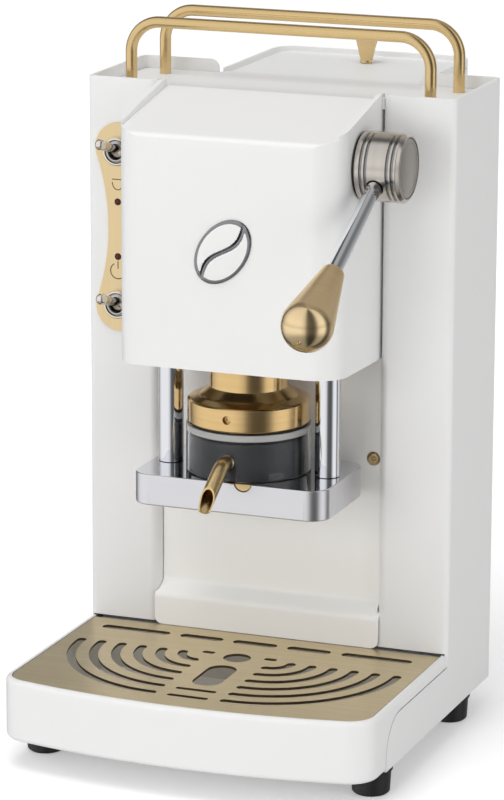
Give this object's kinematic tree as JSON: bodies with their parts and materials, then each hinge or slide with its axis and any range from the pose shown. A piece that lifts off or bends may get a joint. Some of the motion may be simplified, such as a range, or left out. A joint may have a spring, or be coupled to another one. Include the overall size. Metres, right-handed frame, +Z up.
{
  "type": "lever espresso machine for paper pods",
  "caption": "Countertop lever espresso machine for paper pods, with a pod holder on guide columns, drip tray, cup rails and rear water tank.",
  "frame": {"origin": "middle of the machine's outer box, on the surface that it stands on", "axes": "+X to the machine's right as seen from the front, +Y to its back, +Z up"},
  "size_m": [0.2006, 0.3158, 0.3689],
  "materials": {
    "white_paint": "satin white powder coat",
    "brass": "brushed brass, fine turned lines",
    "chrome": "polished",
    "satin_nickel": "turned satin nickel",
    "steel": "plain sheet and bar",
    "black_plastic": "glossy black",
    "black_rubber": "matte black",
    "clear_plastic": "clear, polished",
    "red_lamp": "small red lens"
  },
  "bodies": {
    "casing": {"casing_side_left": "white_paint", "casing_side_right": "white_paint", "back_splash_panel": "white_paint", "cup_deck": "white_paint", "base_pan": "steel", "foot_front_left": "black_rubber", "foot_front_right": "black_rubber", "foot_rear_left": "black_rubber", "foot_rear_right": "black_rubber", "tank_housing": "white_paint", "rail_front": "brass", "rail_rear": "brass", "head_cover": "white_paint", "front_emblem": "chrome", "cheek_left": "steel", "cheek_right": "steel", "column_bridge": "steel", "shaft_bush_left": "brass", "shaft_bush_right": "brass", "column_left": "chrome", "column_right": "chrome", "carriage_plate": "chrome", "locating_key": "brass", "pod_holder": "black_plastic", "filter_disc": "steel", "clear_sleeve": "clear_plastic", "coffee_spout": "brass", "hub_gasket": "black_rubber", "switch_plate": "brass", "toggle_body_upper": "steel", "toggle_body_lower": "steel", "toggle_collar_upper": "chrome", "toggle_collar_lower": "chrome", "indicator_lamp_upper": "red_lamp", "indicator_lamp_lower": "red_lamp", "splash_screw_left": "brass", "splash_screw_right": "brass", "pump": "steel", "cable_gland": "black_plastic"},
    "lever": {"lever_shaft": "steel", "pinion": "steel", "lever_hub": "satin_nickel", "hub_cap": "satin_nickel", "lever_rod": "chrome", "lever_knob": "brass"},
    "group": {"group_head": "brass", "group_gasket": "black_rubber", "crosshead": "steel", "guide_bush_left": "brass", "guide_bush_right": "brass", "boiler": "brass", "rack_post": "steel"},
    "tray": {"drip_tray": "white_paint"},
    "grille": {"drip_grille": "brass"},
    "lid": {"tank_lid": "white_paint", "lid_knob": "brass"},
    "tank": {"water_tank": "clear_plastic"},
    "upper_toggle": {"toggle_bat_upper": "chrome"},
    "lower_toggle": {"toggle_bat_lower": "chrome"}
  },
  "joints": [
    {"name": "lever_hinge", "type": "hinge", "parent": "casing", "child": "lever", "pos_m": [0.06, -0.03458, 0.307], "axis": [-1, 0, 0], "range_deg": [0, 80]},
    {"name": "group_slide", "type": "slide", "parent": "casing", "child": "group", "axis": [0, 0, 1], "range_m": [0, 0.0105]},
    {"name": "tray_slide", "type": "slide", "parent": "casing", "child": "tray", "axis": [0, -1, 0], "range_m": [0, 0.12]},
    {"name": "grille_lift", "type": "slide", "parent": "tray", "child": "grille", "axis": [0, 0, 1], "range_m": [0, 0.03]},
    {"name": "lid_lift", "type": "slide", "parent": "casing", "child": "lid", "axis": [0, 0, 1], "range_m": [0, 0.04]},
    {"name": "tank_lift", "type": "slide", "parent": "casing", "child": "tank", "axis": [0, 0, 1], "range_m": [0, 0.028]},
    {"name": "upper_toggle_hinge", "type": "hinge", "parent": "casing", "child": "upper_toggle", "pos_m": [-0.0832, -0.00708, 0.2998], "axis": [1, 0, 0], "range_deg": [0, 34]},
    {"name": "lower_toggle_hinge", "type": "hinge", "parent": "casing", "child": "lower_toggle", "pos_m": [-0.0832, -0.00708, 0.2187], "axis": [1, 0, 0], "range_deg": [0, 34]}
  ],
  "couplings": [
    {"joint": "group_slide", "follows": "lever_hinge", "m_per_rad": 0.0075}
  ]
}
